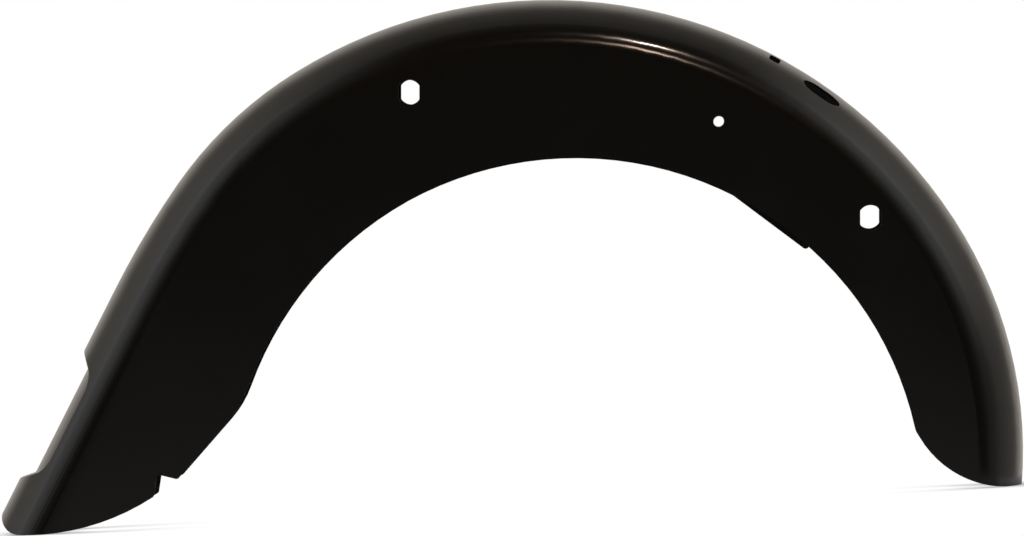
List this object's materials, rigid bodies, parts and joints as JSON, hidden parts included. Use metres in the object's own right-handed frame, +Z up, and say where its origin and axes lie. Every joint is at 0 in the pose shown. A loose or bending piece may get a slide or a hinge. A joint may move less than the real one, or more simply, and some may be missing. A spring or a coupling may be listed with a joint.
{
  "type": "motorcycle rear fender",
  "caption": "Pressed-steel motorcycle rear fender: a long arch of channel section with flat sides, a recessed panel in its front skirt, flatted strut holes and a round-ended tail.",
  "frame": {"origin": "on the ground under the middle of the fender, which stands on the foot of its skirt and the end of its tail", "axes": "+X towards the rear of the motorcycle, +Y towards its right-hand side, +Z up"},
  "size_m": [0.7865, 0.18, 0.3901],
  "materials": {
    "black_paint": "satin black coat on pressed steel, inside and out"
  },
  "bodies": {
    "root": {"rear_fender": "black_paint"}
  },
  "joints": []
}
